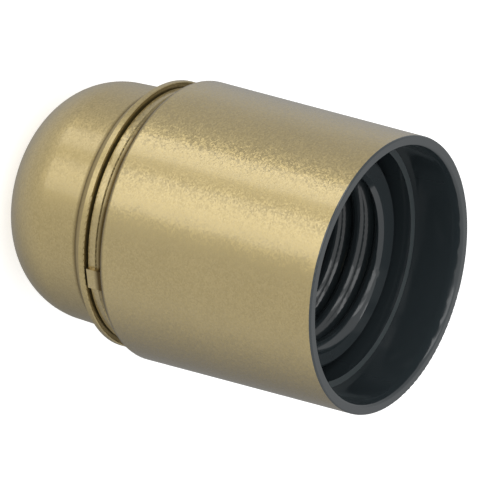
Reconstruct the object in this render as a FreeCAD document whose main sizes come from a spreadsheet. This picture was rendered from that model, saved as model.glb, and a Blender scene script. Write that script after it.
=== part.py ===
# Three-piece E27 lamp holder: dome cap, keyed contact carrier and skirt with a moulded Edison thread.
# Millimetres, +Z from the cable entry in the dome towards the lamp mouth.
# The origin is the centre of the dome's flat entry face.

import FreeCAD, Part
import Sketcher
import math
import os

os.makedirs("parts", exist_ok=True)
doc = FreeCAD.newDocument("lamp_holder")
Vector = FreeCAD.Vector

# ---------------------------------------------------------------------------------------------
# Driving dimensions
# ---------------------------------------------------------------------------------------------

SIZES = [
    # clearances
    ("joint_gap", 0.3),            # between pieces that move past each other
    ("fit_gap", 0.05),             # round a pin, screw or insert in its hole
    # dome cap
    ("dome_flat_radius", 6.2),     # flat ring round the cable entry
    ("dome_corner_radius", 10.8),  # rounding from the flat to the side
    ("dome_draft", 0.25),          # widening of the side up to the crease
    ("dome_wall", 2.4),
    ("crease_height", 16.3),       # where the collar flares out of the side
    ("collar_radius", 19.0),
    ("collar_flare_height", 1.8),
    ("collar_edge", 0.8),          # straight edge of the collar
    ("collar_round", 0.2),
    ("entry_radius", 5.2),         # clearance hole for the threaded nipple
    ("joint_radius", 15.5),        # bore that takes the skirt's spigot
    ("ledge_rise", 1.2),           # ledge that carries the contact carrier, above the corner
    ("guide_depth", 6.0),          # length of the anti-turn guides below the ledge
    ("guide_thickness", 1.2),
    ("guide_reach", 11.8),         # inner end of the guides
    # entry bush
    ("bush_across_flats", 12.5),
    ("bush_length", 6.0),
    ("bush_minor_radius", 4.46),   # M10 x 1, minor diameter 8.92
    ("bush_chamfer", 0.5),
    ("bush_collar_radius", 8.6),   # moulded collar with the hexagonal pocket
    ("bush_collar_height", 3.0),
    # lock screw in the bush
    ("lock_radius", 1.25),
    ("lock_length", 4.0),
    ("lock_point", 0.4),
    ("lock_height", 6.9),
    ("lock_slot_half", 0.25),
    ("lock_slot_depth", 0.8),
    # contact carrier
    ("flange_thickness", 2.6),
    ("carrier_height", 9.5),
    ("carrier_edge", 0.4),
    ("spring_bore_radius", 2.9),
    ("bead_height", 0.45),         # snap bead that holds the carrier in the skirt
    ("bead_width", 0.6),
    ("bead_rise", 3.4),            # from the flange's top face to the bead
    ("leg_half", 2.0),             # half the width of each anti-turn leg
    ("leg_length", 4.4),
    ("leg_root", 0.5),             # overlap of the legs into the flange
    ("leg_inner", 12.0),
    ("leg_outer", 13.5),
    # terminals
    ("terminal_reach", 10.2),      # from the axis to each terminal screw
    ("block_half_length", 2.8),
    ("block_half_width", 3.0),
    ("block_thickness", 2.2),
    ("strip_thickness", 0.6),
    ("strip_half_width", 2.5),
    ("strip_overhang", 3.0),       # strip's end beyond the terminal screw
    ("strip_tail", 3.6),           # live strip's end beyond the axis
    ("screw_radius", 1.5),
    ("screw_shank", 5.0),
    ("screw_edge", 0.3),
    ("screw_tip_room", 2.4),
    ("screw_head_radius", 2.6),
    ("screw_head_height", 1.8),
    ("screw_slot_half", 0.35),
    ("screw_slot_depth", 0.9),
    ("clamp_half_length", 3.0),
    ("clamp_thickness", 0.8),
    ("clamp_lip_height", 0.5),
    ("lip_gap", 0.1),              # between the lips and the strip
    ("clamp_lip_width", 0.6),
    # rivet of the live strip
    ("rivet_inset", 4.9),          # from the terminal screw in towards the axis
    ("rivet_radius", 0.85),
    ("rivet_head_radius", 1.5),
    ("rivet_head_height", 0.6),
    ("rivet_recess", 1.1),
    # centre contact
    ("plunger_top", 24.5),
    ("plunger_head_radius", 3.4),
    ("plunger_head_height", 1.3),
    ("plunger_crown", 0.5),        # rounding of the contact face's edge
    ("plunger_stem_radius", 1.4),
    ("plunger_foot_radius", 2.3),
    ("plunger_foot_height", 0.6),
    ("spring_radius", 2.25),       # mean radius of the coil
    ("spring_wire_radius", 0.25),
    ("spring_turns", 6.0),
    # side contact leaf
    ("riser_reach", 5.6),          # inner face of the strip's riser
    ("leaf_reach", 11.4),          # outer face of the leaf
    ("leaf_thickness", 0.5),
    ("leaf_knee", 4.0),            # straight foot of the leaf above the carrier
    ("leaf_bulge", 1.0),
    ("leaf_half_bulge_height", 2.0),
    # skirt
    ("total_height", 56.8),
    ("sleeve_wall", 2.1),          # behind the thread's roots
    ("open_gap", 1.4),             # between the sleeve and the outer shell
    ("mouth_ledge_width", 1.0),
    ("mouth_ledge_depth", 7.6),
    ("mouth_wall", 1.8),
    ("side_taper", 0.3),           # the shoulder is this much wider than the mouth
    ("shoulder_round", 0.8),
    ("shoulder_web", 1.4),         # floor of the open gap, below the shoulder
    ("neck_length", 2.8),
    ("neck_wall", 1.4),
    ("neck_ring_lift", 1.25),      # from the neck's foot to the ring
    ("neck_ring_rise", 0.15),
    ("rim_edge_round", 0.25),
    ("rim_chamfer_width", 0.4),
    ("rim_chamfer_depth", 1.7),
    ("sleeve_depth", 9.15),        # from the mouth to the sleeve's rounded lip
    ("lip_round", 0.55),
    ("lip_fall", 0.25),            # inward slope of the sleeve's end face
    ("spigot_wall", 1.3),
    ("lug_half", 1.5),
    ("lug_rise", 0.5),
    ("lug_angle", -53.8),
    # Edison thread E27: 7 turns to the inch, knuckle form
    ("thread_pitch", 3.629),
    ("thread_crest_radius", 12.2),
    ("thread_depth", 1.1),
    ("thread_crest_land", 0.5),
    ("thread_floor", 25.0),        # end of the thread above the carrier
    ("thread_runout", 0.9),
    ("thread_phase", 22.0),        # height of the groove's start, on +X
    ("thread_reach", 27.6),
]

sheet = doc.addObject("Spreadsheet::Sheet", "Sizes")
for row, (alias, number) in enumerate(SIZES, start=1):
    sheet.set("A{}".format(row), alias)
    sheet.set("B{}".format(row), str(number))
    sheet.setAlias("B{}".format(row), alias)
doc.recompute()


def value(text):
    """Number that a sum of aliases, such as "mouth_wall + fit_gap", stands for."""
    total = 0.0
    sign = 1
    for word in text.split():
        if word in ("+", "-"):
            sign = 1 if word == "+" else -1
        else:
            total += sign * sheet.get(word)
            sign = 1
    return total


def cells(text):
    """The same sum as a FreeCAD expression on the sheet."""
    return " ".join(word if word in ("+", "-") else "Sizes." + word for word in text.split())


# Heights and radii that several pieces share, as sums of the sheet's cells.
DOME_TOP = "crease_height + collar_flare_height + collar_edge"
SIDE_RADIUS = "dome_flat_radius + dome_corner_radius"
LEDGE = "dome_corner_radius + ledge_rise"
FLANGE_TOP = LEDGE + " + flange_thickness"
CARRIER_TOP = LEDGE + " + carrier_height"
SPIGOT_RADIUS = "joint_radius - joint_gap"
SPIGOT_BORE = SPIGOT_RADIUS + " - spigot_wall"
CARRIER_RADIUS = SPIGOT_BORE + " - joint_gap"
STRIP_FACE = LEDGE + " - strip_thickness"
CLAMP_FACE = STRIP_FACE + " - clamp_thickness"
BEAD_FOOT = FLANGE_TOP + " + bead_rise"
NECK_FOOT = DOME_TOP + " + joint_gap"
RIVET_REACH = "terminal_reach - rivet_inset"
NECK_RING = NECK_FOOT + " + neck_ring_lift"
SHOULDER = NECK_FOOT + " + neck_length"
SLEEVE_RADIUS = "thread_crest_radius + thread_depth + sleeve_wall"
SHELL_BORE = SLEEVE_RADIUS + " + open_gap"
NECK_RADIUS = SHELL_BORE + " + neck_wall"
MOUTH_BORE = SHELL_BORE + " + mouth_ledge_width"
MOUTH_RADIUS = MOUTH_BORE + " + mouth_wall"
SHOULDER_RADIUS = MOUTH_RADIUS + " + side_taper"
LEDGE_RADIUS = "dome_flat_radius + dome_corner_radius - dome_wall"


# ---------------------------------------------------------------------------------------------
# Sketching helpers
# ---------------------------------------------------------------------------------------------

def new_body(label):
    body = doc.addObject("PartDesign::Body", label)
    body.Label = label
    body.Placement = FreeCAD.Placement()
    return body


def new_sketch(body, role, name, height=None):
    """Sketch on one of the body's own origin planes, raised by a sum of cells if one is given."""
    sketch = body.newObject("Sketcher::SketchObject", body.Name + "_" + name)
    plane = [item for item in body.Origin.OriginFeatures if item.Role == role][0]
    sketch.AttachmentSupport = [(plane, "")]
    sketch.MapMode = "FlatFace"
    if height:
        sketch.setExpression(".AttachmentOffset.Base.z", cells(height))
    return sketch


def bind(sketch, kind, places, text):
    """Dimension of one kind between the places, bound to a sum of cells."""
    bind_formula(sketch, kind, places, value(text), cells(text))


def bind_formula(sketch, kind, places, number, formula):
    """Dimension bound to any formula on the sheet, with the number that it starts from."""
    index = sketch.addConstraint(Sketcher.Constraint(kind, *places, number))
    name = "size{}".format(index)
    sketch.renameConstraint(index, name)
    sketch.setExpression("Constraints." + name, formula)


def pin_point(sketch, edge, end, across, along):
    """Fixes an edge's end at two sums of cells from the sketch's origin; "" stands for zero."""
    for kind, axis, text in (("DistanceX", -2, across), ("DistanceY", -1, along)):
        if text:
            bind(sketch, kind, (-1, 1, edge, end), text)
        else:
            sketch.addConstraint(Sketcher.Constraint("PointOnObject", edge, end, axis))


def value_or_zero(text):
    return value(text) if text else 0.0


def arc_between(start, finish, radius, bulge):
    """Arc of the radius from start to finish; bulge is +1 to the left of the run, -1 to the right."""
    run = finish - start
    half = run.Length / 2
    side = Vector(-run.y, run.x, 0).normalize() * bulge
    rise = radius - math.sqrt(max(radius * radius - half * half, 0.0))
    return Part.Arc(start, start + run / 2 + side * rise, finish)


def draw_outline(sketch, corners):
    """Closed outline. Each corner is (across, along), with (radius, bulge) added if an arc leaves it."""
    points = [Vector(value_or_zero(corner[0]), value_or_zero(corner[1]), 0) for corner in corners]
    ends = []
    for number, corner in enumerate(corners):
        start = points[number]
        finish = points[(number + 1) % len(points)]
        if len(corner) == 4:
            arc = arc_between(start, finish, value(corner[2]), corner[3])
            edge = sketch.addGeometry(arc, False)
            first_end = 1 if sketch.getPoint(edge, 1).distanceToPoint(start) < 1e-6 else 2
        else:
            edge = sketch.addGeometry(Part.LineSegment(start, finish), False)
            first_end = 1
        ends.append((edge, first_end, 3 - first_end))
    for number, corner in enumerate(corners):
        edge, first_end, last_end = ends[number]
        next_edge, next_end = ends[(number + 1) % len(ends)][:2]
        sketch.addConstraint(Sketcher.Constraint("Coincident", edge, last_end, next_edge, next_end))
        pin_point(sketch, edge, first_end, corner[0], corner[1])
        if len(corner) == 4:
            bind(sketch, "Radius", (edge,), corner[2])


def draw_circle(sketch, across, along, radius):
    centre = Vector(value_or_zero(across), value_or_zero(along), 0)
    edge = sketch.addGeometry(Part.Circle(centre, Vector(0, 0, 1), value(radius)), False)
    pin_point(sketch, edge, 3, across, along)
    bind(sketch, "Radius", (edge,), radius)


def draw_box(sketch, low_across, low_along, high_across, high_along):
    draw_outline(sketch, [(low_across, low_along), (high_across, low_along),
                          (high_across, high_along), (low_across, high_along)])


def revolve(body, corners, name="turned"):
    """Solid of revolution about Z of an outline in (radius, height)."""
    sketch = new_sketch(body, "XZ_Plane", name + "_outline")
    draw_outline(sketch, corners)
    feature = body.newObject("PartDesign::Revolution", body.Name + "_" + name)
    feature.Profile = sketch
    feature.ReferenceAxis = (sketch, ["V_Axis"])
    feature.Angle = 360
    doc.recompute()
    return feature


def pad(body, sketch, length, name, midplane=False):
    feature = body.newObject("PartDesign::Pad", body.Name + "_" + name)
    feature.Profile = sketch
    feature.Midplane = midplane
    feature.setExpression("Length", cells(length))
    doc.recompute()
    return feature


def pocket(body, sketch, length, name):
    """Cuts upward, +Z, from the sketch."""
    before = body.Shape.Volume
    feature = body.newObject("PartDesign::Pocket", body.Name + "_" + name)
    feature.Profile = sketch
    feature.Reversed = True
    feature.setExpression("Length", cells(length))
    doc.recompute()
    if body.Shape.Volume >= before:
        raise RuntimeError("{} cuts nothing".format(feature.Name))
    return feature


def negative(text):
    """The sum with every sign turned round."""
    words = text.split()
    turned = ["-"] if words[0] not in ("+", "-") else []
    for word in words:
        turned.append({"+": "-", "-": "+"}.get(word, word))
    return " ".join(turned)


# ---------------------------------------------------------------------------------------------
# Dome cap
# ---------------------------------------------------------------------------------------------

def make_dome_cap():
    """Thermoplastic cap: rounded dome, flared collar, ledge for the carrier, guides and bush pocket."""
    body = new_body("dome_cap")
    crease_radius = SIDE_RADIUS + " + dome_draft"
    flare_top = "crease_height + collar_flare_height"
    revolve(body, [
        ("entry_radius", ""),
        ("dome_flat_radius", "", "dome_corner_radius", -1),
        (SIDE_RADIUS, "dome_corner_radius"),
        (crease_radius, "crease_height"),
        ("collar_radius", flare_top),
        ("collar_radius", DOME_TOP + " - collar_round", "collar_round", -1),
        ("collar_radius - collar_round", DOME_TOP),
        ("joint_radius", DOME_TOP),
        ("joint_radius", LEDGE),
        (LEDGE_RADIUS, LEDGE),
        (LEDGE_RADIUS, "dome_corner_radius", "dome_corner_radius - dome_wall", 1),
        ("dome_flat_radius", "dome_wall"),
        ("entry_radius", "dome_wall"),
    ])
    collar = new_sketch(body, "XY_Plane", "bush_collar_outline", "dome_wall - joint_gap")
    draw_circle(collar, "", "", "bush_collar_radius")
    draw_circle(collar, "", "", "entry_radius")
    pad(body, collar, "bush_collar_height + joint_gap", "bush_collar")
    hexagon = new_sketch(body, "XY_Plane", "bush_pocket_outline", "dome_wall")
    draw_hexagon(hexagon, "bush_across_flats + fit_gap + fit_gap")
    pocket(body, hexagon, "bush_collar_height", "bush_pocket")
    guides = new_sketch(body, "XY_Plane", "guide_outlines", LEDGE + " - guide_depth")
    near = "leg_half + joint_gap"
    far = near + " + guide_thickness"
    outer = LEDGE_RADIUS + " + joint_gap"
    for side in (1, -1):
        low, high = (near, far) if side > 0 else (negative(far), negative(near))
        draw_box(guides, low, "guide_reach", high, outer)
        draw_box(guides, low, negative(outer), high, negative("guide_reach"))
    pad(body, guides, "guide_depth", "guides")
    return body


def draw_hexagon(sketch, across_flats):
    """Hexagon about the sketch's origin with two corners on the horizontal axis."""
    radius = value(across_flats) / math.sqrt(3)
    corners = [Vector(radius * math.cos(math.radians(angle)), radius * math.sin(math.radians(angle)), 0)
               for angle in range(0, 360, 60)]
    edges = [sketch.addGeometry(Part.LineSegment(corners[side], corners[(side + 1) % 6]), False)
             for side in range(6)]
    for side in range(6):
        sketch.addConstraint(Sketcher.Constraint("Coincident", edges[side], 2, edges[(side + 1) % 6], 1))
        if side:
            sketch.addConstraint(Sketcher.Constraint("Equal", edges[0], edges[side]))
    guide = sketch.addGeometry(Part.Circle(Vector(0, 0, 0), Vector(0, 0, 1), radius), True)
    sketch.addConstraint(Sketcher.Constraint("Coincident", guide, 3, -1, 1))
    for side in range(6):
        sketch.addConstraint(Sketcher.Constraint("PointOnObject", edges[side], 1, guide))
    sketch.addConstraint(Sketcher.Constraint("Horizontal", edges[1]))
    index = sketch.addConstraint(Sketcher.Constraint("Radius", guide, radius))
    sketch.renameConstraint(index, "corner_radius")
    sketch.setExpression("Constraints.corner_radius", "(" + cells(across_flats) + ") / sqrt(3)")


# ---------------------------------------------------------------------------------------------
# Cable entry: threaded bush and its lock screw
# ---------------------------------------------------------------------------------------------

def make_entry_bush():
    """Hexagonal M10 x 1 bush that sits in the dome's pocket, cross-drilled for the lock screw."""
    body = new_body("entry_bush")
    hexagon = new_sketch(body, "XY_Plane", "hexagon", "dome_wall")
    draw_hexagon(hexagon, "bush_across_flats")
    pad(body, hexagon, "bush_length", "blank")
    bore = new_sketch(body, "XY_Plane", "bore_outline", "dome_wall")
    draw_circle(bore, "", "", "bush_minor_radius")
    pocket(body, bore, "bush_length", "bore")
    cross = new_sketch(body, "XZ_Plane", "cross_outline")
    draw_circle(cross, "", "lock_height", "lock_radius + fit_gap")
    before = body.Shape.Volume
    drilling = body.newObject("PartDesign::Pocket", "entry_bush_cross_hole")
    drilling.Profile = cross
    drilling.setExpression("Length", cells("bush_across_flats"))
    doc.recompute()
    if body.Shape.Volume >= before:
        raise RuntimeError("the bush's cross hole cuts nothing")
    return body


def make_lock_screw():
    """Slotted grub screw; its length lies along its own +Z, placed to point out of the bush."""
    body = new_body("bush_lock_screw")
    revolve(body, [
        ("", ""),
        ("lock_radius - lock_point", ""),
        ("lock_radius", "lock_point"),
        ("lock_radius", "lock_length"),
        ("", "lock_length"),
    ])
    slot = new_sketch(body, "XY_Plane", "slot_outline", "lock_length - lock_slot_depth")
    draw_box(slot, "- lock_radius", "- lock_slot_half", "lock_radius", "lock_slot_half")
    pocket(body, slot, "lock_slot_depth", "slot")
    body.Placement = FreeCAD.Placement(
        Vector(0, value("bush_minor_radius + fit_gap"), value("lock_height")),
        FreeCAD.Rotation(Vector(0, 0, 1), Vector(0, 1, 0)))
    return body


# ---------------------------------------------------------------------------------------------
# Contact carrier
# ---------------------------------------------------------------------------------------------

def make_contact_carrier():
    """Insulating core: flange on the dome's ledge, snap bead, anti-turn legs and terminal pockets."""
    body = new_body("contact_carrier")
    bead_inner = BEAD_FOOT + " + bead_height"
    bead_outer = bead_inner + " + bead_width"
    revolve(body, [
        ("spring_bore_radius", LEDGE),
        (SPIGOT_RADIUS, LEDGE),
        (SPIGOT_RADIUS, FLANGE_TOP),
        (CARRIER_RADIUS, FLANGE_TOP),
        (CARRIER_RADIUS, BEAD_FOOT),
        (CARRIER_RADIUS + " + bead_height", bead_inner),
        (CARRIER_RADIUS + " + bead_height", bead_outer),
        (CARRIER_RADIUS, bead_outer + " + bead_height"),
        (CARRIER_RADIUS, CARRIER_TOP + " - carrier_edge"),
        (CARRIER_RADIUS + " - carrier_edge", CARRIER_TOP),
        ("spring_bore_radius", CARRIER_TOP),
    ])
    legs = new_sketch(body, "XY_Plane", "leg_outlines", LEDGE + " - leg_length")
    draw_box(legs, "- leg_half", "leg_inner", "leg_half", "leg_outer")
    draw_box(legs, "- leg_half", "- leg_outer", "leg_half", "- leg_inner")
    pad(body, legs, "leg_length + leg_root", "legs")
    seats = new_sketch(body, "XY_Plane", "block_seat_outlines", LEDGE)
    half = "block_half_length + fit_gap"
    width = "block_half_width + fit_gap"
    near = "terminal_reach - block_half_length - fit_gap"
    far = "terminal_reach + " + half
    draw_box(seats, near, negative(width), far, width)
    draw_box(seats, negative(far), negative(width), negative(near), width)
    pocket(body, seats, "block_thickness", "block_seats")
    tips = new_sketch(body, "XY_Plane", "screw_tip_outlines", LEDGE + " + block_thickness")
    draw_circle(tips, "terminal_reach", "", "screw_radius + joint_gap")
    draw_circle(tips, "- terminal_reach", "", "screw_radius + joint_gap")
    pocket(body, tips, "screw_tip_room", "screw_tip_holes")
    rivet = new_sketch(body, "XY_Plane", "rivet_hole_outline", LEDGE)
    draw_circle(rivet, RIVET_REACH, "", "rivet_radius + fit_gap")
    pocket(body, rivet, "carrier_height", "rivet_hole")
    recess = new_sketch(body, "XY_Plane", "rivet_recess_outline", CARRIER_TOP + " - rivet_recess")
    draw_circle(recess, RIVET_REACH, "", "rivet_head_radius + joint_gap")
    pocket(body, recess, "rivet_recess", "rivet_recess")
    riser = new_sketch(body, "XY_Plane", "riser_slot_outline", LEDGE)
    draw_box(riser, "- riser_reach - strip_thickness - fit_gap", "- strip_half_width - fit_gap",
             "- riser_reach + fit_gap", "strip_half_width + fit_gap")
    pocket(body, riser, "carrier_height", "riser_slot")
    return body


# ---------------------------------------------------------------------------------------------
# Live and neutral sides
# ---------------------------------------------------------------------------------------------

def make_live_strip():
    """Flat brass strip under the carrier, from the plunger's foot to the live terminal."""
    body = new_body("live_contact_strip")
    plate = new_sketch(body, "XY_Plane", "plate_outline", STRIP_FACE)
    draw_box(plate, "- strip_tail", "- strip_half_width", "terminal_reach + strip_overhang", "strip_half_width")
    draw_circle(plate, "", "", "plunger_stem_radius + joint_gap")
    draw_circle(plate, RIVET_REACH, "", "rivet_radius + fit_gap")
    draw_circle(plate, "terminal_reach", "", "screw_radius + fit_gap")
    pad(body, plate, "strip_thickness", "plate")
    return body


def make_neutral_strip():
    """Brass strip folded up through the carrier and out into the leaf that meets the lamp's shell."""
    body = new_body("neutral_contact_strip")
    riser_outer = "- riser_reach - strip_thickness"
    leaf_inner = "- leaf_reach + leaf_thickness"
    fold_top = CARRIER_TOP + " + strip_thickness"
    knee = CARRIER_TOP + " + leaf_knee"
    bulge = knee + " + leaf_half_bulge_height"
    tip = bulge + " + leaf_half_bulge_height"
    side = new_sketch(body, "XZ_Plane", "folded_outline")
    draw_outline(side, [
        ("- terminal_reach - strip_overhang", STRIP_FACE),
        ("- riser_reach", STRIP_FACE),
        ("- riser_reach", fold_top),
        (leaf_inner, fold_top),
        (leaf_inner, knee),
        (leaf_inner + " + leaf_bulge", bulge),
        (leaf_inner, tip),
        ("- leaf_reach", tip),
        ("- leaf_reach + leaf_bulge", bulge),
        ("- leaf_reach", knee),
        ("- leaf_reach", CARRIER_TOP),
        (riser_outer, CARRIER_TOP),
        (riser_outer, LEDGE),
        ("- terminal_reach - strip_overhang", LEDGE),
    ])
    pad(body, side, "strip_half_width + strip_half_width", "folded", midplane=True)
    hole = new_sketch(body, "XY_Plane", "screw_hole_outline", STRIP_FACE)
    draw_circle(hole, "- terminal_reach", "", "screw_radius + fit_gap")
    pocket(body, hole, "strip_thickness", "screw_hole")
    return body


def make_terminal_block(label, sign):
    """Brass block in the carrier's seat that takes the terminal screw."""
    body = new_body(label)
    block = new_sketch(body, "XY_Plane", "block_outline", LEDGE)
    low, high = side_span(sign, "terminal_reach - block_half_length", "terminal_reach + block_half_length")
    draw_box(block, low, "- block_half_width", high, "block_half_width")
    draw_circle(block, along_side(sign, "terminal_reach"), "", "screw_radius + fit_gap")
    pad(body, block, "block_thickness", "block")
    return body


def along_side(sign, text):
    return text if sign > 0 else negative(text)


def side_span(sign, near, far):
    return (near, far) if sign > 0 else (negative(far), negative(near))


def make_clamp_plate(label, sign):
    """Square washer with two turned-up lips that keep the wire under the screw's head."""
    body = new_body(label)
    low, high = side_span(sign, "terminal_reach - clamp_half_length", "terminal_reach + clamp_half_length")
    lip_inner = "strip_half_width + lip_gap"
    lip_outer = lip_inner + " + clamp_lip_width"
    plate = new_sketch(body, "XY_Plane", "plate_outline", CLAMP_FACE)
    draw_box(plate, low, negative(lip_outer), high, lip_outer)
    draw_circle(plate, along_side(sign, "terminal_reach"), "", "screw_radius + fit_gap")
    pad(body, plate, "clamp_thickness", "plate")
    lips = new_sketch(body, "XY_Plane", "lip_outlines", STRIP_FACE)
    draw_box(lips, low, lip_inner, high, lip_outer)
    draw_box(lips, low, negative(lip_outer), high, negative(lip_inner))
    pad(body, lips, "clamp_lip_height", "lips")
    return body


def make_terminal_screw(label, sign):
    """Slotted cheese-head M3 screw, head towards the cable entry."""
    body = new_body(label)
    head_face = CLAMP_FACE + " - screw_head_height"
    revolve(body, [
        ("", head_face),
        ("screw_head_radius - screw_edge", head_face),
        ("screw_head_radius", head_face + " + screw_edge"),
        ("screw_head_radius", CLAMP_FACE),
        ("screw_radius", CLAMP_FACE),
        ("screw_radius", CLAMP_FACE + " + screw_shank - screw_edge"),
        ("screw_radius - screw_edge", CLAMP_FACE + " + screw_shank"),
        ("", CLAMP_FACE + " + screw_shank"),
    ])
    slot = new_sketch(body, "XY_Plane", "slot_outline", head_face)
    draw_box(slot, "- screw_head_radius", "- screw_slot_half", "screw_head_radius", "screw_slot_half")
    pocket(body, slot, "screw_slot_depth", "slot")
    body.Placement = FreeCAD.Placement(Vector(sign * value("terminal_reach"), 0, 0), FreeCAD.Rotation())
    return body


def make_live_rivet():
    """Rivet that holds the live strip to the carrier, its upper head in a recess."""
    body = new_body("live_rivet")
    upper = CARRIER_TOP + " - rivet_recess"
    revolve(body, [
        ("", STRIP_FACE + " - rivet_head_height"),
        ("rivet_head_radius", STRIP_FACE + " - rivet_head_height"),
        ("rivet_head_radius", STRIP_FACE),
        ("rivet_radius", STRIP_FACE),
        ("rivet_radius", upper),
        ("rivet_head_radius", upper),
        ("rivet_head_radius", upper + " + rivet_head_height"),
        ("", upper + " + rivet_head_height"),
    ])
    body.Placement = FreeCAD.Placement(Vector(value(RIVET_REACH), 0, 0), FreeCAD.Rotation())
    return body


# ---------------------------------------------------------------------------------------------
# Sprung centre contact
# ---------------------------------------------------------------------------------------------

def make_centre_contact():
    """Plunger: crowned head for the lamp's foot, stem through the live strip, foot that stops it."""
    body = new_body("centre_contact")
    head_foot = "plunger_top - plunger_head_height"
    revolve(body, [
        ("", STRIP_FACE + " - plunger_foot_height"),
        ("plunger_foot_radius", STRIP_FACE + " - plunger_foot_height"),
        ("plunger_foot_radius", STRIP_FACE),
        ("plunger_stem_radius", STRIP_FACE),
        ("plunger_stem_radius", head_foot),
        ("plunger_head_radius", head_foot),
        ("plunger_head_radius", "plunger_top - plunger_crown", "plunger_crown", -1),
        ("plunger_head_radius - plunger_crown", "plunger_top"),
        ("", "plunger_top"),
    ])
    return body


def make_spring():
    """Round-wire coil between the live strip and the underside of the plunger's head."""
    wire = value("spring_wire_radius")
    floor = value(LEDGE) + wire
    room = value("plunger_top - plunger_head_height " + negative(LEDGE)) - 2 * wire
    pitch = room / value("spring_turns")
    radius = value("spring_radius")
    path = Part.makeHelix(pitch, room, radius)
    section = Part.Wire(Part.makeCircle(wire, Vector(radius, 0, 0), Vector(0, 1, 0)))
    coil = Part.Wire(path.Edges).makePipeShell([section], True, True)
    spring = doc.addObject("Part::Feature", "centre_contact_spring")
    spring.Label = "centre_contact_spring"
    spring.Shape = coil
    spring.Placement = FreeCAD.Placement(Vector(0, 0, floor), FreeCAD.Rotation())
    return spring


# ---------------------------------------------------------------------------------------------
# Skirt with the moulded lamp thread
# ---------------------------------------------------------------------------------------------

def make_skirt_blank():
    """Skirt before threading: outer shell, open gap, inner sleeve, neck and spigot, with a lock lug."""
    body = new_body("skirt")
    lip = "total_height - sleeve_depth"
    groove_foot = BEAD_FOOT + " - joint_gap"
    groove_top = BEAD_FOOT + " + bead_height + bead_width + bead_height + joint_gap"
    groove_radius = CARRIER_RADIUS + " + bead_height + joint_gap"
    revolve(body, [
        (SPIGOT_BORE, FLANGE_TOP),
        (SPIGOT_RADIUS, FLANGE_TOP),
        (SPIGOT_RADIUS, NECK_FOOT),
        (NECK_RADIUS, NECK_FOOT),
        (NECK_RADIUS, NECK_RING + " - neck_ring_rise"),
        (NECK_RADIUS + " + neck_ring_rise", NECK_RING),
        (NECK_RADIUS, NECK_RING + " + neck_ring_rise"),
        (NECK_RADIUS, SHOULDER),
        (SHOULDER_RADIUS + " - shoulder_round", SHOULDER, "shoulder_round", -1),
        (SHOULDER_RADIUS, SHOULDER + " + shoulder_round"),
        (MOUTH_RADIUS, "total_height - rim_edge_round", "rim_edge_round", -1),
        (MOUTH_RADIUS + " - rim_edge_round", "total_height"),
        (MOUTH_BORE + " + rim_chamfer_width", "total_height"),
        (MOUTH_BORE, "total_height - rim_chamfer_depth"),
        (MOUTH_BORE, "total_height - mouth_ledge_depth"),
        (SHELL_BORE, "total_height - mouth_ledge_depth"),
        (SHELL_BORE, SHOULDER + " - shoulder_web"),
        (SLEEVE_RADIUS, SHOULDER + " - shoulder_web"),
        (SLEEVE_RADIUS, lip + " - lip_round", "lip_round", 1),
        (SLEEVE_RADIUS + " - lip_round", lip),
        ("thread_crest_radius + lip_round", lip + " - lip_fall"),
        ("thread_crest_radius", lip + " - lip_fall - lip_round"),
        ("thread_crest_radius", "thread_floor + thread_runout"),
        (SPIGOT_BORE, "thread_floor"),
        (SPIGOT_BORE, groove_top),
        (groove_radius, groove_top + " - bead_height"),
        (groove_radius, groove_foot + " + bead_height"),
        (SPIGOT_BORE, groove_foot),
    ])
    lug = new_sketch(body, "XY_Plane", "lug_outline", NECK_FOOT)
    draw_box(lug, SHELL_BORE + " + joint_gap", "- lug_half", NECK_RADIUS + " + lug_rise", "lug_half")
    lug.setExpression(".AttachmentOffset.Rotation.Yaw", "Sizes.lug_angle")
    pad(body, lug, "neck_length", "lug")
    return body


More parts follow.
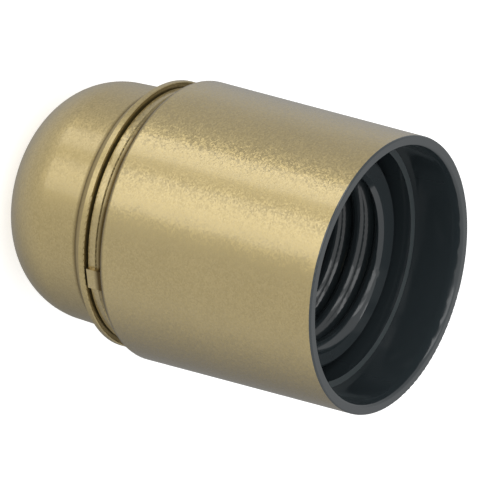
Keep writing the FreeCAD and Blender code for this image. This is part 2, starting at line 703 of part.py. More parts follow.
def draw_thread_groove(sketch):
    """Knuckle section of the groove: equal arcs at crest and root that meet tangentially half-way."""
    pitch = value("thread_pitch")
    depth = value("thread_depth")
    crest = value("thread_crest_radius")
    middle = value("thread_phase")
    land = value("thread_crest_land")
    arc_radius = (pitch ** 2 / 4 + depth ** 2) / (4 * depth)
    arc_formula = "(Sizes.thread_pitch ^ 2 / 4 + Sizes.thread_depth ^ 2) / (4 * Sizes.thread_depth)"
    crest_centre = crest + arc_radius
    flank = Vector(crest + depth / 2, pitch / 4, 0)
    edge = Vector(crest_centre - math.sqrt(arc_radius ** 2 - land ** 2 / 4), pitch / 2 - land / 2, 0)
    bend_drop = (pitch / 4 + land / 2) / 2
    bend = Vector(crest_centre - math.sqrt(arc_radius ** 2 - bend_drop ** 2), pitch / 2 - bend_drop, 0)
    inner = Vector(crest - value("lip_round"), edge.y, 0)
    root = Vector(crest + depth, middle, 0)

    def place(point, side):
        return Vector(point.x, middle + side * point.y, 0)

    root_arc = sketch.addGeometry(Part.Arc(place(flank, -1), root, place(flank, 1)), False)
    bind_formula(sketch, "Radius", (root_arc,), arc_radius, arc_formula)
    inner_ends = []
    for side, sign, root_end in ((1, "+", 2), (-1, "-", 1)):
        crest_arc = sketch.addGeometry(Part.Arc(place(flank, side), place(bend, side), place(edge, side)), False)
        flank_end = 1 if sketch.getPoint(crest_arc, 1).distanceToPoint(place(flank, side)) < 1e-6 else 2
        step = sketch.addGeometry(Part.LineSegment(place(edge, side), place(inner, side)), False)
        height = "Sizes.thread_phase {} Sizes.thread_pitch / {}"
        edge_height = height.format(sign, 2) + " {} Sizes.thread_crest_land / 2".format("-" if side > 0 else "+")
        sketch.addConstraint(Sketcher.Constraint("Coincident", root_arc, root_end, crest_arc, flank_end))
        sketch.addConstraint(Sketcher.Constraint("Coincident", crest_arc, 3 - flank_end, step, 1))
        sketch.addConstraint(Sketcher.Constraint("Horizontal", step))
        bind_formula(sketch, "DistanceX", (-1, 1, crest_arc, flank_end), flank.x,
                     "Sizes.thread_crest_radius + Sizes.thread_depth / 2")
        bind_formula(sketch, "DistanceY", (-1, 1, crest_arc, flank_end), place(flank, side).y,
                     height.format(sign, 4))
        bind_formula(sketch, "Radius", (crest_arc,), arc_radius, arc_formula)
        bind_formula(sketch, "DistanceY", (-1, 1, crest_arc, 3), middle + side * pitch / 2,
                     height.format(sign, 2))
        bind_formula(sketch, "DistanceY", (-1, 1, step, 1), place(edge, side).y, edge_height)
        bind(sketch, "DistanceX", (-1, 1, step, 2), "thread_crest_radius - lip_round")
        inner_ends.append(step)
    back = sketch.addGeometry(Part.LineSegment(place(inner, 1), place(inner, -1)), False)
    sketch.addConstraint(Sketcher.Constraint("Coincident", inner_ends[0], 2, back, 1))
    sketch.addConstraint(Sketcher.Constraint("Coincident", inner_ends[1], 2, back, 2))


def make_skirt():
    """Skirt with the right-hand Edison groove cut helically into its sleeve."""
    body = make_skirt_blank()
    before = body.Shape.Volume
    section = new_sketch(body, "XZ_Plane", "thread_section")
    draw_thread_groove(section)
    groove = body.newObject("PartDesign::SubtractiveHelix", "skirt_thread")
    groove.Profile = section
    groove.ReferenceAxis = (section, ["V_Axis"])
    groove.Mode = "pitch-height-angle"
    groove.setExpression("Pitch", cells("thread_pitch"))
    groove.setExpression("Height", cells("thread_reach"))
    doc.recompute()
    if body.Shape.Volume >= before:
        raise RuntimeError("the lamp thread cuts nothing")
    return body


# ---------------------------------------------------------------------------------------------
# Assembly and export
# ---------------------------------------------------------------------------------------------

SUB_PARTS = [
    make_dome_cap(),
    make_entry_bush(),
    make_lock_screw(),
    make_contact_carrier(),
    make_live_strip(),
    make_neutral_strip(),
    make_live_rivet(),
    make_centre_contact(),
    make_spring(),
    make_skirt(),
]
for name, sign in (("live", 1), ("neutral", -1)):
    SUB_PARTS.append(make_terminal_block(name + "_terminal_block", sign))
    SUB_PARTS.append(make_clamp_plate(name + "_clamp_plate", sign))
    SUB_PARTS.append(make_terminal_screw(name + "_terminal_screw", sign))

doc.recompute()
for item in doc.Objects:
    if "Invalid" in item.State or "Error" in item.State:
        raise RuntimeError("{} failed: {}".format(item.Label, item.State))
for item in SUB_PARTS:
    if item.Shape.isNull() or not item.Shape.isValid():
        raise RuntimeError("{} has no valid shape".format(item.Label))
for item in SUB_PARTS:
    item.Shape.exportStep("parts/{}.step".format(item.Label))
    print(item.Label, len(item.Shape.Solids), round(item.Shape.Volume, 2))
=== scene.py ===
import math
import bpy
import bmesh
from mathutils import Matrix, Vector


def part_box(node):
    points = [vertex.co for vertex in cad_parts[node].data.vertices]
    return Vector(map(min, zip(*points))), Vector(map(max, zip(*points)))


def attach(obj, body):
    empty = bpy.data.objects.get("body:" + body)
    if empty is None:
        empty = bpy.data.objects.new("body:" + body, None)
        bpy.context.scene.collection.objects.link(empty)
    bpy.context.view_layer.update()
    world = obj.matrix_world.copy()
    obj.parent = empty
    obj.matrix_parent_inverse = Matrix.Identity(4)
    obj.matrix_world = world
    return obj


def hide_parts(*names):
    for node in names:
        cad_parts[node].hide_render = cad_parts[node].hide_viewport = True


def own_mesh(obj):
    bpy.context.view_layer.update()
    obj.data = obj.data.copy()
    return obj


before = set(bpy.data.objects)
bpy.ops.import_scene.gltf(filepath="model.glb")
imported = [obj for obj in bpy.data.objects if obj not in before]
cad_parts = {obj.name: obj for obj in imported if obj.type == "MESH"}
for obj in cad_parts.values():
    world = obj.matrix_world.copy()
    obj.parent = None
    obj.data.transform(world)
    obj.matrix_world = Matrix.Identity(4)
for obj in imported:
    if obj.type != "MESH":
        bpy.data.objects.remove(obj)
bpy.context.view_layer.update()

# ---------------------------------------------------------------------------------------------
# Dome cap: injection-moulded black PBT, spray-lacquered outside in a pale gold metallic.
# The lacquer is metal flake in a clear binder, so it has a soft metal glow under a glossy film.
# It stops at the edges, where the black moulding shows.
# ---------------------------------------------------------------------------------------------


def linear(hex_colour):
    """sRGB hex colour as linear RGBA."""
    parts = [int(hex_colour[i:i + 2], 16) / 255 for i in (1, 3, 5)]
    return [p / 12.92 if p <= 0.04045 else ((p + 0.055) / 1.055) ** 2.4 for p in parts] + [1.0]


def add_node(tree, kind, settings=None, **inputs):
    """Adds one node. Inputs are values, nodes (their first output) or (node, output) pairs.

    An input is given by its name, with _ for a space, or as i and its number.
    """
    node = tree.nodes.new(kind)
    for name, setting in (settings or {}).items():
        setattr(node, name, setting)
    for name, source in inputs.items():
        numbered = name[0] == "i" and name[1:].isdigit()
        socket = node.inputs[int(name[1:]) if numbered else name.replace("_", " ")]
        if isinstance(source, bpy.types.Node):
            source = (source, 0)
        if isinstance(source, tuple) and isinstance(source[0], bpy.types.Node):
            tree.links.new(source[0].outputs[source[1]], socket)
        else:
            socket.default_value = source
    return node


def new_material(name):
    """An empty node material and its tree."""
    material = bpy.data.materials.new(name)
    material.use_nodes = True
    tree = material.node_tree
    tree.nodes.clear()
    return material, tree


# Real flake is a few hundredths of a millimetre. It is drawn coarser, so that it shows.
FLAKE_SIZE = 0.00022
SPRAY_CLOUD_SIZE = 0.009
FLAKE_SHARE = 0.45
CLOUD_SHARE = 0.2
LACQUER_DARK = "#8F7F52"
LACQUER_LIGHT = "#AA9868"
# The brown of the painted shade in a seam.
LACQUER_IN_PAINTED_SEAM_SHADE = "#45371C"


def gold_lacquer(name, flake_lean, roughness, film, seam_shade):
    """Sprayed gold metallic lacquer: flake sparkle, faint clouds from the spray, and painted shade in its
    seam.

    film is how much clear film lies over the flake; seam_shade is the painted shade's lowest and highest Z
    and how dark it is.
    """
    material, tree = new_material(name)
    place = add_node(tree, "ShaderNodeTexCoord")
    spot = (place, "Object")
    flakes = add_node(tree, "ShaderNodeTexVoronoi", {"feature": "F1"}, Vector=spot, Scale=1 / FLAKE_SIZE)
    grain = add_node(tree, "ShaderNodeTexNoise", Vector=spot, Scale=0.5 / FLAKE_SIZE, Detail=3.0,
                     Roughness=0.6)
    cloud = add_node(tree, "ShaderNodeTexNoise", Vector=spot, Scale=1 / SPRAY_CLOUD_SIZE, Detail=2.0)
    flake_tone = add_node(tree, "ShaderNodeSeparateColor", Color=(flakes, "Color"))
    tone = add_node(tree, "ShaderNodeMath", {"operation": "MULTIPLY_ADD"}, i0=flake_tone, i1=FLAKE_SHARE,
                    i2=0.2)
    tone = add_node(tree, "ShaderNodeMath", {"operation": "MULTIPLY_ADD"}, i0=(cloud, "Fac"),
                    i1=CLOUD_SHARE, i2=tone)
    base = add_node(tree, "ShaderNodeValToRGB", Fac=tone)
    base.color_ramp.elements[0].position = 0.15
    base.color_ramp.elements[0].color = linear(LACQUER_DARK)
    base.color_ramp.elements[1].position = 0.95
    base.color_ramp.elements[1].color = linear(LACQUER_LIGHT)
    # Each flake lies a little askew under the clear film, so it catches the light by itself.
    lean = add_node(tree, "ShaderNodeVectorMath", {"operation": "SUBTRACT"}, i0=(flakes, "Color"),
                    i1=(0.5, 0.5, 0.5))
    lean = add_node(tree, "ShaderNodeVectorMath", {"operation": "SCALE"}, i0=lean, Scale=flake_lean)
    surface = add_node(tree, "ShaderNodeNewGeometry")
    tilted = add_node(tree, "ShaderNodeVectorMath", {"operation": "ADD"}, i0=(surface, "Normal"), i1=lean)
    tilted = add_node(tree, "ShaderNodeVectorMath", {"operation": "NORMALIZE"}, i0=tilted)
    bump = add_node(tree, "ShaderNodeBump", Strength=0.12, Distance=FLAKE_SIZE * 0.25,
                    Height=(grain, "Fac"), Normal=tilted)
    # Painted shade in the seam: the colour turns dark brown and the clear film fades towards the seam's
    # middle.
    low, high, shade_depth = seam_shade
    parts = add_node(tree, "ShaderNodeSeparateXYZ", Vector=spot)
    offset = add_node(tree, "ShaderNodeMath", {"operation": "SUBTRACT"}, i0=(parts, "Z"), i1=(low + high) / 2)
    away = add_node(tree, "ShaderNodeMath", {"operation": "ABSOLUTE"}, i0=offset)
    painted_shade = add_node(tree, "ShaderNodeMapRange", Value=away, From_Min=(high - low) / 2, From_Max=0.0,
                    To_Min=0.0, To_Max=shade_depth)
    colour = add_node(tree, "ShaderNodeMix", {"data_type": "RGBA"}, i0=painted_shade, i6=base,
                      i7=linear(LACQUER_IN_PAINTED_SEAM_SHADE))
    coat = add_node(tree, "ShaderNodeMath", {"operation": "MULTIPLY_ADD", "use_clamp": True}, i0=painted_shade,
                    i1=-film, i2=film)
    shader = add_node(tree, "ShaderNodeBsdfPrincipled", Base_Color=(colour, 2), Metallic=0.92,
                      Roughness=roughness, Normal=bump, Coat_Weight=coat)
    shader.inputs["Coat Roughness"].default_value = 0.16
    shader.inputs["Coat IOR"].default_value = 1.5
    add_node(tree, "ShaderNodeOutputMaterial", Surface=shader)
    return material


def black_moulding(name, colour, roughness, sheen_scale):
    """Black PBT straight from the mould: deep blue-black, glossy, with faint flow unevenness."""
    material, tree = new_material(name)
    place = add_node(tree, "ShaderNodeTexCoord")
    flow = add_node(tree, "ShaderNodeTexNoise", Vector=(place, "Object"), Scale=1 / sheen_scale, Detail=4.0)
    rough = add_node(tree, "ShaderNodeMapRange", Value=(flow, "Fac"), From_Min=0.3, From_Max=0.7,
                     To_Min=roughness - 0.05, To_Max=roughness + 0.07)
    bump = add_node(tree, "ShaderNodeBump", Strength=0.12, Distance=0.00008, Height=(flow, "Fac"))
    shader = add_node(tree, "ShaderNodeBsdfPrincipled", Roughness=rough, Normal=bump)
    shader.inputs["Base Color"].default_value = linear(colour)
    shader.inputs["IOR"].default_value = 1.55
    add_node(tree, "ShaderNodeOutputMaterial", Surface=shader)
    return material


WELD_DISTANCE = 1e-7
SHARP_ANGLE = math.radians(24)
RIM_EDGE_ANGLE = math.radians(40)


def smooth_copy(node_name, piece_name, materials, pick, eased=()):
    """The CAD solid's surface as one welded, smoothly shaded mesh; pick gives each face's material.

    eased lists (radius, height, round) for circular edges that the mould leaves slightly rounded.
    """
    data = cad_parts[node_name].data.copy()
    data.materials.clear()
    for material in materials:
        data.materials.append(material)
    work = bmesh.new()
    work.from_mesh(data)
    bmesh.ops.remove_doubles(work, verts=work.verts, dist=WELD_DISTANCE)
    for radius, height, ease in eased:
        rim = [edge for edge in work.edges if edge.calc_face_angle(0.0) > RIM_EDGE_ANGLE and all(
            abs(vert.co.z - height) < 1e-5 and abs(math.hypot(vert.co.x, vert.co.y) - radius) < 2e-5
            for vert in edge.verts)]
        bmesh.ops.bevel(work, geom=rim, offset=ease, segments=4, profile=0.5, affect="EDGES",
                        clamp_overlap=True)
    for face in work.faces:
        face.smooth = True
        face.material_index = pick(face.calc_center_median(), face.normal)
    for edge in work.edges:
        edge.smooth = edge.calc_face_angle(0.0) < SHARP_ANGLE
    work.to_mesh(data)
    work.free()
    data.name = piece_name
    piece = bpy.data.objects.new(piece_name, data)
    bpy.context.scene.collection.objects.link(piece)
    weighted = piece.modifiers.new("face_weighted_normals", "WEIGHTED_NORMAL")
    weighted.keep_sharp = True
    weighted.weight = 100
    return piece


dome_low, dome_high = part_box("dome_cap")
# Painted shade in the crease below the collar: its lowest and highest Z and how dark.
SHADE_IN_CREASE_BELOW_COLLAR = (0.01570, 0.01690, 0.8)
dome_gold = gold_lacquer("gold_lacquer_on_dome", 0.09, 0.38, 0.7, SHADE_IN_CREASE_BELOW_COLLAR)
inside_black = black_moulding("black_pbt_inside", "#252B2D", 0.24, 0.004)

COLLAR_ROUND = 0.00021
ENTRY_EDGE_HEIGHT = 0.0005
ENTRY_EDGE_RADIUS = 0.0055
# The dome's large round: the height and radius of its centre line, then the middle of its wall.
ROUND_HEIGHT = 0.0108
ROUND_INSET = 0.0062
ROUND_MID_WALL = 0.0096
STRAIGHT_MID_WALL = 0.0161


def dome_side(centre, normal):
    """0 for the lacquered outside with the collar's face, 1 for the bare inside."""
    radius = math.hypot(centre.x, centre.y)
    if centre.z > dome_high.z - COLLAR_ROUND:
        return 0
    if centre.z < ENTRY_EDGE_HEIGHT and radius < ENTRY_EDGE_RADIUS:
        return 1
    if centre.z < ROUND_HEIGHT:
        outer = math.hypot(max(radius - ROUND_INSET, 0.0), centre.z - ROUND_HEIGHT) > ROUND_MID_WALL
    else:
        outer = radius > STRAIGHT_MID_WALL
    outward = normal.x * centre.x + normal.y * centre.y > -1e-9
    return 0 if outer and (outward or normal.z < -0.5) else 1


dome = smooth_copy("dome_cap", "dome_shell", [dome_gold, inside_black], dome_side)
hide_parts("dome_cap")
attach(dome, "dome")

# ---------------------------------------------------------------------------------------------
# Entry bush: zinc-plated steel, turned from hexagon bar and tapped M10x1 for the pendant tube.
# The plating is thin and bright, with fine turning marks, and the thread shows in the bore.
# ---------------------------------------------------------------------------------------------


def helix_height(tree, axis, pitch, core, crest):
    """A V thread's height round a line along Z: 0 to 1 between the core and crest radii, else 0."""
    place = add_node(tree, "ShaderNodeTexCoord")
    shift = add_node(tree, "ShaderNodeVectorMath", {"operation": "SUBTRACT"}, i0=(place, "Object"), i1=axis)
    parts = add_node(tree, "ShaderNodeSeparateXYZ", Vector=shift)
    flat = add_node(tree, "ShaderNodeCombineXYZ", X=(parts, "X"), Y=(parts, "Y"))
    radius = add_node(tree, "ShaderNodeVectorMath", {"operation": "LENGTH"}, i0=flat)
    angle = add_node(tree, "ShaderNodeMath", {"operation": "ARCTAN2"}, i0=(parts, "Y"), i1=(parts, "X"))
    turn = add_node(tree, "ShaderNodeMath", {"operation": "DIVIDE"}, i0=angle, i1=2 * math.pi)
    rise = add_node(tree, "ShaderNodeMath", {"operation": "DIVIDE"}, i0=(parts, "Z"), i1=pitch)
    along = add_node(tree, "ShaderNodeMath", {"operation": "SUBTRACT"}, i0=rise, i1=turn)
    wave = add_node(tree, "ShaderNodeMath", {"operation": "PINGPONG"}, i0=along, i1=0.5)
    flank = add_node(tree, "ShaderNodeMath", {"operation": "MULTIPLY"}, i0=wave, i1=2.0)
    past_core = add_node(tree, "ShaderNodeMath", {"operation": "GREATER_THAN"}, i0=(radius, 1), i1=core)
    within_crest = add_node(tree, "ShaderNodeMath", {"operation": "LESS_THAN"}, i0=(radius, 1), i1=crest)
    threaded = add_node(tree, "ShaderNodeMath", {"operation": "MULTIPLY"}, i0=past_core, i1=within_crest)
    return add_node(tree, "ShaderNodeMath", {"operation": "MULTIPLY"}, i0=flank, i1=threaded)


STAIN_SIZE = 0.0025
STAIN_DARKNESS = 0.72


def plated_metal(name, colour, roughness, grain, thread=None):
    """Bright plated or bare metal: grain from rolling or turning, faint stains, and a thread if cut.

    The grain's size is a few times the real marks', so that it shows. thread is what helix_height needs.
    """
    material, tree = new_material(name)
    place = add_node(tree, "ShaderNodeTexCoord")
    marks = add_node(tree, "ShaderNodeTexNoise", Vector=(place, "Object"), Scale=1 / grain, Detail=5.0,
                     Roughness=0.65)
    stain = add_node(tree, "ShaderNodeTexNoise", Vector=(place, "Object"), Scale=1 / STAIN_SIZE, Detail=3.0)
    rough = add_node(tree, "ShaderNodeMapRange", Value=(marks, "Fac"), From_Min=0.3, From_Max=0.7,
                     To_Min=roughness - 0.06, To_Max=roughness + 0.1)
    clean = linear(colour)
    stained = [part * STAIN_DARKNESS for part in clean[:3]] + [1.0]
    tint = add_node(tree, "ShaderNodeMix", {"data_type": "RGBA"}, i0=(stain, "Fac"), i6=stained, i7=clean)
    bump = add_node(tree, "ShaderNodeBump", Strength=0.15, Distance=0.00003, Height=(marks, "Fac"))
    if thread:
        pitch = thread[1]
        bump = add_node(tree, "ShaderNodeBump", Strength=1.0, Distance=pitch * 0.55,
                        Height=helix_height(tree, *thread), Normal=bump)
    shader = add_node(tree, "ShaderNodeBsdfPrincipled", Base_Color=(tint, 2), Roughness=rough, Normal=bump)
    shader.inputs["Metallic"].default_value = 1.0
    add_node(tree, "ShaderNodeOutputMaterial", Surface=shader)
    return material


def dress(node_name, material):
    """A CAD node keeps its own mesh and takes this material."""
    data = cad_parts[node_name].data
    data.materials.clear()
    data.materials.append(material)


ENTRY_AXIS = (0, 0, 0)
ENTRY_PITCH = 0.001
ENTRY_CORE_RADIUS = 0.0040
ENTRY_CREST_RADIUS = 0.0046
dress("entry_bush", plated_metal("zinc_plate_on_bush", "#C6CACC", 0.26, 0.0004, (
    ENTRY_AXIS, ENTRY_PITCH, ENTRY_CORE_RADIUS, ENTRY_CREST_RADIUS)))

# ---------------------------------------------------------------------------------------------
# Lock screw: a slotted M2.5 grub screw in zinc-plated steel that grips the pendant tube.
# It is cold-formed and thread-rolled, so its flanks are smooth and bright.
# ---------------------------------------------------------------------------------------------

dress("bush_lock_screw", plated_metal("zinc_plate_on_lock_screw", "#B4B8BA", 0.3, 0.0003))

# ---------------------------------------------------------------------------------------------
# Contact carrier: black PBT moulding that holds every live piece clear of the shell.
# It has a finer, duller face than the shell's inside, and small flow marks round its bores.
# ---------------------------------------------------------------------------------------------

dress("contact_carrier", black_moulding("black_pbt_carrier", "#202526", 0.34, 0.0025))

# ---------------------------------------------------------------------------------------------
# Contact strips, rivet and terminals: stamped and turned brass, the strips nickel-plated.
# The rolled strip has a fine grain, and the blocks are sawn from bar and tumbled.
# ---------------------------------------------------------------------------------------------

dress("live_contact_strip", plated_metal("nickel_plate_on_live_strip", "#C8C0AC", 0.3, 0.0005))
dress("neutral_contact_strip", plated_metal("nickel_plate_on_neutral_strip", "#C8C0AC", 0.3, 0.0005))
dress("live_rivet", plated_metal("brass_rivet", "#C9A65E", 0.28, 0.0004))
terminal_brass = plated_metal("brass_terminal_block", "#C9A65E", 0.33, 0.0006)
dress("live_terminal_block", terminal_brass)
dress("neutral_terminal_block", terminal_brass)

# ---------------------------------------------------------------------------------------------
# Clamp plates and terminal screws: zinc-plated steel, the plates pressed with two small lips.
# Each screw's M3 thread is rolled, so its shank shows a fine helix.
# ---------------------------------------------------------------------------------------------

clamp_zinc = plated_metal("zinc_plate_on_clamp", "#BEC2C4", 0.3, 0.0004)
dress("live_clamp_plate", clamp_zinc)
dress("neutral_clamp_plate", clamp_zinc)
TERMINAL_PITCH = 0.0005
TERMINAL_CORE_RADIUS = 0.0012
TERMINAL_CREST_RADIUS = 0.0018
for side in ("live", "neutral"):
    screw_low, screw_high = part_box(side + "_terminal_screw")
    screw_axis = ((screw_low.x + screw_high.x) / 2, (screw_low.y + screw_high.y) / 2, 0)
    screw_zinc = plated_metal("zinc_plate_on_" + side + "_screw", "#BEC2C4", 0.28, 0.0003, (
        screw_axis, TERMINAL_PITCH, TERMINAL_CORE_RADIUS, TERMINAL_CREST_RADIUS))
    dress(side + "_terminal_screw", screw_zinc)

# ---------------------------------------------------------------------------------------------
# Centre contact spring: bright spring-steel wire wound in six open turns, both ends cut square.
# It sits in the carrier's bore and pushes the centre contact up to the lamp.
# ---------------------------------------------------------------------------------------------


def apply_nodes(piece, tree, values):
    """Runs a geometry node tree on the piece with these named inputs and keeps the mesh."""
    modifier = piece.modifiers.new(tree.name, "NODES")
    modifier.node_group = tree
    for item in tree.interface.items_tree:
        if item.item_type == "SOCKET" and item.in_out == "INPUT" and item.name in values:
            modifier[item.identifier] = values[item.name]
    bpy.context.view_layer.update()
    made = bpy.data.meshes.new_from_object(piece.evaluated_get(bpy.context.evaluated_depsgraph_get()))
    piece.modifiers.remove(modifier)
    made.name = piece.name
    piece.data = made


spring_low, spring_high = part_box("centre_contact_spring")
WIRE_RADIUS = 0.00025
coil = bpy.data.node_groups.new("wound_spring", "GeometryNodeTree")
for label in ("Foot", "Height", "Coil Radius", "Wire Radius", "Turns"):
    coil.interface.new_socket(label, in_out="INPUT", socket_type="NodeSocketFloat")
coil.interface.new_socket("Material", in_out="INPUT", socket_type="NodeSocketMaterial")
coil.interface.new_socket("Geometry", in_out="OUTPUT", socket_type="NodeSocketGeometry")
given = coil.nodes.new("NodeGroupInput")
spiral = add_node(coil, "GeometryNodeCurveSpiral", Resolution=64, Rotations=(given, "Turns"),
                  Start_Radius=(given, "Coil Radius"), End_Radius=(given, "Coil Radius"),
                  Height=(given, "Height"))
wire = add_node(coil, "GeometryNodeCurvePrimitiveCircle", {"mode": "RADIUS"}, Resolution=20,
                Radius=(given, "Wire Radius"))
sweep = add_node(coil, "GeometryNodeCurveToMesh", Curve=spiral, Profile_Curve=wire, Fill_Caps=True)
foot = add_node(coil, "ShaderNodeCombineXYZ", Z=(given, "Foot"))
lifted = add_node(coil, "GeometryNodeTransform", Geometry=sweep, Translation=foot)
smooth = add_node(coil, "GeometryNodeSetShadeSmooth", Geometry=lifted)
real = add_node(coil, "GeometryNodeRealizeInstances", Geometry=smooth)
painted = add_node(coil, "GeometryNodeSetMaterial", Geometry=real, Material=(given, "Material"))
add_node(coil, "NodeGroupOutput", Geometry=painted)

spring = bpy.data.objects.new("wound_spring", bpy.data.meshes.new("wound_spring"))
bpy.context.scene.collection.objects.link(spring)
apply_nodes(spring, coil, {
    "Foot": spring_low.z + WIRE_RADIUS,
    "Height": spring_high.z - spring_low.z - 2 * WIRE_RADIUS,
    "Coil Radius": (spring_high.x - spring_low.x) / 2 - WIRE_RADIUS,
    "Wire Radius": WIRE_RADIUS,
    "Turns": 6.0,
    "Material": plated_metal("spring_steel_wire", "#9C9EA1", 0.27, 0.0002)})
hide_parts("centre_contact_spring")
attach(spring, "carrier")
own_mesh(spring)

# ---------------------------------------------------------------------------------------------
# Centre contact: turned brass plunger, nickel-plated, with a rounded head for the lamp's tip.
# Handling and lamp changes leave it slightly brushed.
# ---------------------------------------------------------------------------------------------

dress("centre_contact", plated_metal("nickel_plate_on_centre_contact", "#D2C394", 0.3, 0.0004))

# ---------------------------------------------------------------------------------------------
# Skirt: one black PBT moulding with the lamp thread inside, lacquered outside like the dome.
# The lacquer is masked at the rim, so the mouth and the thread stay glossy black. The ledge
# is matt, and its black is drawn lighter as painted light on its upward face.
# ---------------------------------------------------------------------------------------------

skirt_low, skirt_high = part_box("skirt")
# Painted shade at the shoulder's foot: its lowest and highest Z and how dark.
SHADE_AT_SHOULDER_FOOT = (0.02035, 0.02290, 1.7)
skirt_gold = gold_lacquer("gold_lacquer_on_skirt", 0.15, 0.3, 1.0, SHADE_AT_SHOULDER_FOOT)
mouth_black = black_moulding("black_pbt_mouth", "#2B3235", 0.1, 0.005)
# The ledge: matt, and a lighter black than the mouth's as painted light on its upward face.
lit_ledge_black = black_moulding("matt_black_pbt_ledge_painted_lit", "#4A5254", 0.3, 0.005)

# Heights above the spigot's end, and radii that lie inside the lacquered walls.
BARE_SPIGOT = 0.0045
NECK_FOOT = 0.005
NECK_PAINT_RADIUS = 0.0153
SHELL_PAINT_RADIUS = 0.0178
RIM_OUTER_ROUND = 0.00026
RIM_INNER_RADIUS = 0.0182
RIM_INNER_EASE = 0.00035
# The ledge lies between these depths below the rim, outside the thread's sleeve.
LEDGE_DEPTHS = (0.004, 0.020)
LEDGE_INNER_RADIUS = 0.0155


def skirt_side(centre, normal):
    """0 for the lacquered outside, 1 for the glossy inside and the rim, 2 for the matt ledge with painted
    light.
    """
    radius = math.hypot(centre.x, centre.y)
    above_foot = centre.z - skirt_low.z
    below_rim = skirt_high.z - centre.z
    inward = normal.x * centre.x + normal.y * centre.y < -0.2 * radius
    paint_radius = NECK_PAINT_RADIUS if above_foot < NECK_FOOT else SHELL_PAINT_RADIUS
    if radius > paint_radius and above_foot > BARE_SPIGOT and below_rim > RIM_OUTER_ROUND and not inward:
        return 0
    on_ledge = radius > LEDGE_INNER_RADIUS and LEDGE_DEPTHS[0] < below_rim < LEDGE_DEPTHS[1]
    return 2 if on_ledge and normal.z > 0.5 else 1


skirt = smooth_copy("skirt", "skirt_shell", [skirt_gold, mouth_black, lit_ledge_black], skirt_side,
                    [(RIM_INNER_RADIUS, skirt_high.z, RIM_INNER_EASE)])
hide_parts("skirt")
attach(skirt, "skirt")

# ---------------------------------------------------------------------------------------------
# Studio: a pale floor under the part and a white surround with two shaded sides, behind and below
# on the right and far on the left, so that the lacquer's edges darken.
# Two tall windows stand in front on the left, and light the part from well above and below.
# ---------------------------------------------------------------------------------------------

floor_data = bpy.data.meshes.new("floor")
FLOOR_HALF = 3.0
FLOOR_DROP = 0.00005
floor_data.from_pydata([(-FLOOR_HALF, -FLOOR_HALF, 0), (FLOOR_HALF, -FLOOR_HALF, 0),
                        (FLOOR_HALF, FLOOR_HALF, 0), (-FLOOR_HALF, FLOOR_HALF, 0)], [], [(0, 1, 2, 3)])
floor_data.transform(Matrix.Translation((0, 0, -FLOOR_DROP)))
floor = bpy.data.objects.new("floor", floor_data)
bpy.context.scene.collection.objects.link(floor)
floor.visible_diffuse = False
floor.visible_glossy = False
floor.visible_transmission = False
floor.visible_shadow = False
pale, tree = new_material("pale_floor")
paper = add_node(tree, "ShaderNodeBsdfDiffuse")
paper.inputs["Color"].default_value = linear("#E4E4E4")
glow = add_node(tree, "ShaderNodeEmission", Strength=0.62)
glow.inputs["Color"].default_value = (1, 1, 1, 1)
both = add_node(tree, "ShaderNodeAddShader", i0=paper, i1=glow)
# Clear from below, so that the cable entry can be seen.
clear = add_node(tree, "ShaderNodeBsdfTransparent")
side_seen = add_node(tree, "ShaderNodeNewGeometry")
either = add_node(tree, "ShaderNodeMixShader", i0=(side_seen, "Backfacing"), i1=both, i2=clear)
add_node(tree, "ShaderNodeOutputMaterial", Surface=either)
floor_data.materials.append(pale)

scene = bpy.context.scene
surround = bpy.data.worlds.new("white_surround")
scene.world = surround
surround.use_nodes = True
tree = surround.node_tree
tree.nodes.clear()
place = add_node(tree, "ShaderNodeTexCoord")
RIGHT_SHADE_AZIMUTH = math.radians(66)
RIGHT_SHADE_DROP = math.radians(31)
toward_right = (math.cos(RIGHT_SHADE_DROP) * math.cos(RIGHT_SHADE_AZIMUTH),
                math.cos(RIGHT_SHADE_DROP) * math.sin(RIGHT_SHADE_AZIMUTH), -math.sin(RIGHT_SHADE_DROP))
rightward = add_node(tree, "ShaderNodeVectorMath", {"operation": "DOT_PRODUCT"}, i0=(place, "Generated"),
                     i1=toward_right)
right_wall = add_node(tree, "ShaderNodeMapRange", Value=(rightward, 1), From_Min=0.4, From_Max=1.05,
                      To_Min=1.0, To_Max=0.2)
LEFT_SHADE_AZIMUTH = math.radians(140)
leftward = add_node(tree, "ShaderNodeVectorMath", {"operation": "DOT_PRODUCT"}, i0=(place, "Generated"),
                    i1=(math.cos(LEFT_SHADE_AZIMUTH), math.sin(LEFT_SHADE_AZIMUTH), 0))
left_wall = add_node(tree, "ShaderNodeMapRange", Value=(leftward, 1), From_Min=0.2, From_Max=0.8,
                     To_Min=1.0, To_Max=0.78)
walls = add_node(tree, "ShaderNodeMath", {"operation": "MULTIPLY"}, i0=right_wall, i1=left_wall)
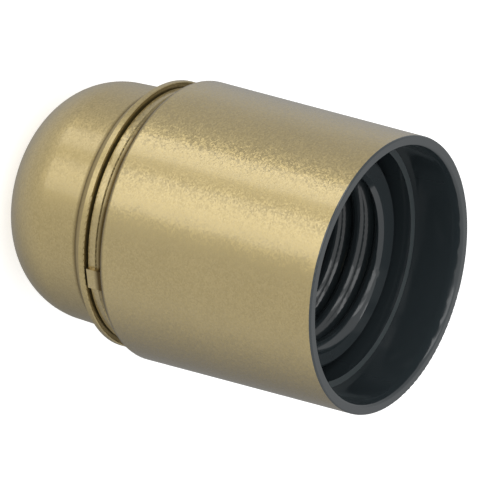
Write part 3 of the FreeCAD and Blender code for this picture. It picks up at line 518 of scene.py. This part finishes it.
# The camera sees plain white. Metal, film and gloss mirror that white with its shaded sides, and
# soft light comes from the same surround a little lower.
SOFT_LIGHT_LEVEL = 0.78
ray = add_node(tree, "ShaderNodeLightPath")
mirrored = add_node(tree, "ShaderNodeMath", {"operation": "MAXIMUM"}, i0=(ray, "Is Glossy Ray"),
                    i1=(ray, "Is Transmission Ray"))
bright = add_node(tree, "ShaderNodeMapRange", Value=mirrored, From_Min=0.0, From_Max=1.0,
                  To_Min=SOFT_LIGHT_LEVEL, To_Max=1.0)
around = add_node(tree, "ShaderNodeMath", {"operation": "MULTIPLY"}, i0=bright, i1=walls)
level = add_node(tree, "ShaderNodeMix", {"data_type": "FLOAT"}, i0=(ray, "Is Camera Ray"), i2=around, i3=1.0)
backdrop = add_node(tree, "ShaderNodeBackground", Strength=level)
backdrop.inputs["Color"].default_value = (1, 1, 1, 1)
add_node(tree, "ShaderNodeOutputWorld", Surface=backdrop)

WINDOW_DISTANCE = 1.6
WINDOW_SILL = -1.6
WINDOW_HEAD = 3.3


def window(name, azimuth, half_width, level):
    """A tall soft window at this azimuth; level is its brightness, where a white wall is 1."""
    data = bpy.data.lights.new(name, "AREA")
    data.shape = "RECTANGLE"
    data.size = 2 * WINDOW_DISTANCE * math.tan(math.radians(half_width))
    data.size_y = WINDOW_HEAD - WINDOW_SILL
    data.energy = level * math.pi * data.size * data.size_y
    lamp = bpy.data.objects.new(name, data)
    turn = math.radians(azimuth)
    lamp.location = (WINDOW_DISTANCE * math.cos(turn), WINDOW_DISTANCE * math.sin(turn),
                     (WINDOW_SILL + WINDOW_HEAD) / 2)
    lamp.rotation_euler = (math.radians(90), 0, turn + math.radians(90))
    scene.collection.objects.link(lamp)


window("window_left", 218, 10, 1.6)
window("window_front", 258, 16, 1.35)

# ---------------------------------------------------------------------------------------------
# Camera: a long lens from the front, above the mouth's edge, rolled so that the part lies down.
# The mouth points to the right of the frame and a little below its middle.
# ---------------------------------------------------------------------------------------------

ELEVATION = math.radians(31.25)
ROLL = math.radians(104.93)
AIM = Vector((0.000575, -0.01092, 0.03880))
DISTANCE = 1.1
back = Vector((0, -math.cos(ELEVATION), math.sin(ELEVATION)))
camera_data = bpy.data.cameras.new("camera")
camera_data.lens = 604.7
camera_data.sensor_width = 36
camera_data.clip_end = 30
camera = bpy.data.objects.new("camera", camera_data)
scene.collection.objects.link(camera)
upright = back.to_track_quat("Z", "Y").to_matrix()
rolled = upright @ Matrix.Rotation(ROLL, 3, "Z")
camera.matrix_world = Matrix.Translation(AIM + DISTANCE * back) @ rolled.to_4x4()
scene.camera = camera
scene.view_settings.view_transform = "Standard"
